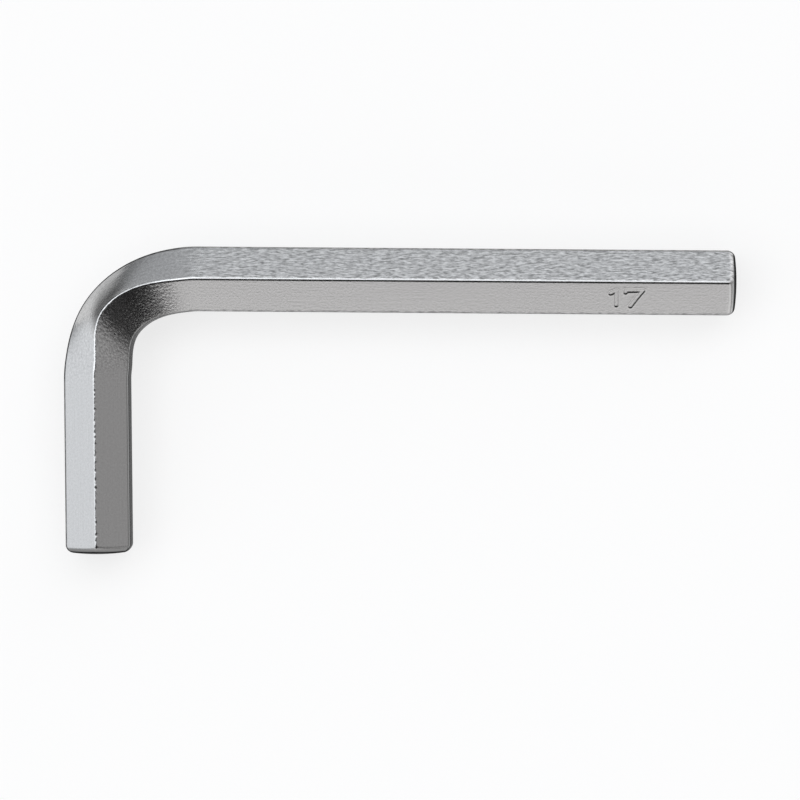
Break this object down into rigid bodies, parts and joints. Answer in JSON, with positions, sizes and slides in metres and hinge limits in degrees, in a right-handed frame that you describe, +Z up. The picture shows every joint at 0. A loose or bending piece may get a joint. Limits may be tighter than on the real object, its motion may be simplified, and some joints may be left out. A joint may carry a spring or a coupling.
{
  "type": "hex key",
  "caption": "L-shaped key bent from hexagonal steel bar, with a long and a short arm that drive sockets.",
  "frame": {"origin": "middle of the key's bounding box in plan, on the surface that it lies on", "axes": "+X towards the long arm's tip, -Y towards the short arm's tip, +Z up, with one arris of each arm uppermost"},
  "size_m": [0.177, 0.0816, 0.0194],
  "materials": {
    "plated_steel": "satin plating over drawn steel bar, with fine scratches along the bar"
  },
  "bodies": {
    "root": {"hex_key": "plated_steel"}
  },
  "joints": []
}
